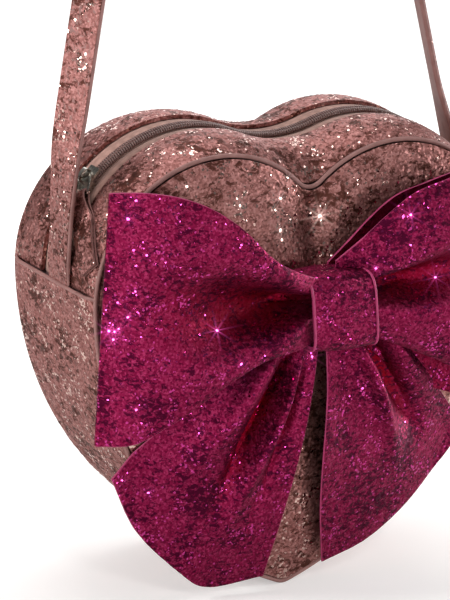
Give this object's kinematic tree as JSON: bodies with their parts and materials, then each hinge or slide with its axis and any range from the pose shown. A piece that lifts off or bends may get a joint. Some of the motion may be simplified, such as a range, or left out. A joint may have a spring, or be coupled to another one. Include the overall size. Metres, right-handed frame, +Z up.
{
  "type": "shoulder bag",
  "caption": "Heart-shaped glitter shoulder bag with a zip over its two lobes, a sewn-in strap and a large pleated bow on the front.",
  "frame": {"origin": "middle of the strap's inner face at its highest point, where the bag hangs", "axes": "+Z up, -Y to the bag's front with the bow, +X to the right seen from the front"},
  "size_m": [0.2105, 0.1241, 0.5601],
  "materials": {
    "rose_glitter": "chunky rose-gold glitter on a woven backing",
    "fuchsia_glitter": "chunky fuchsia glitter on a woven backing",
    "mauve_edge": "smooth satin mauve synthetic leather and painted edge",
    "zip_tape": "matt woven tape",
    "zip_coil": "satin nylon coil",
    "gunmetal": "polished gunmetal plating",
    "lining_cloth": "plain woven lining"
  },
  "bodies": {
    "strap": {"strap_lining": "mauve_edge", "strap_outer": "rose_glitter"},
    "bag": {"front_panel": "rose_glitter", "back_panel": "rose_glitter", "lower_gusset": "rose_glitter", "front_zip_facing": "rose_glitter", "rear_zip_facing": "rose_glitter", "bow_loop_left": "fuchsia_glitter", "bow_loop_right": "fuchsia_glitter", "bow_tail_left": "fuchsia_glitter", "bow_tail_right": "fuchsia_glitter", "bow_knot": "fuchsia_glitter", "front_piping": "mauve_edge", "front_zip_tape": "zip_tape", "rear_zip_tape": "zip_tape", "front_zip_coil": "zip_coil", "rear_zip_coil": "zip_coil", "left_zip_stop": "gunmetal", "right_zip_stop": "gunmetal", "front_lining": "lining_cloth", "rear_lining": "lining_cloth", "lining_band": "lining_cloth"},
    "slider": {"zip_slider": "gunmetal"},
    "pull": {"pull_ring": "gunmetal", "pull_strip": "rose_glitter"}
  },
  "joints": [
    {"name": "bag_swing", "type": "hinge", "parent": "strap", "child": "bag", "pos_m": [0.042, -0.0073, -0.41967], "axis": [1, 0, 0], "range_deg": [0, 30]},
    {"name": "zip_slider_travel", "type": "hinge", "parent": "bag", "child": "slider", "pos_m": [0.00085, 0.0055, -0.41682], "axis": [0, 1, 0], "range_deg": [0, 64]},
    {"name": "pull_lift", "type": "hinge", "parent": "slider", "child": "pull", "pos_m": [-0.0473, 0.0055, -0.37642], "axis": [-0.4217, 0.7547, -0.5026], "range_deg": [0, 64]}
  ],
  "couplings": [
    {"joint": "pull_lift", "follows": "zip_slider_travel", "ratio": 1}
  ]
}
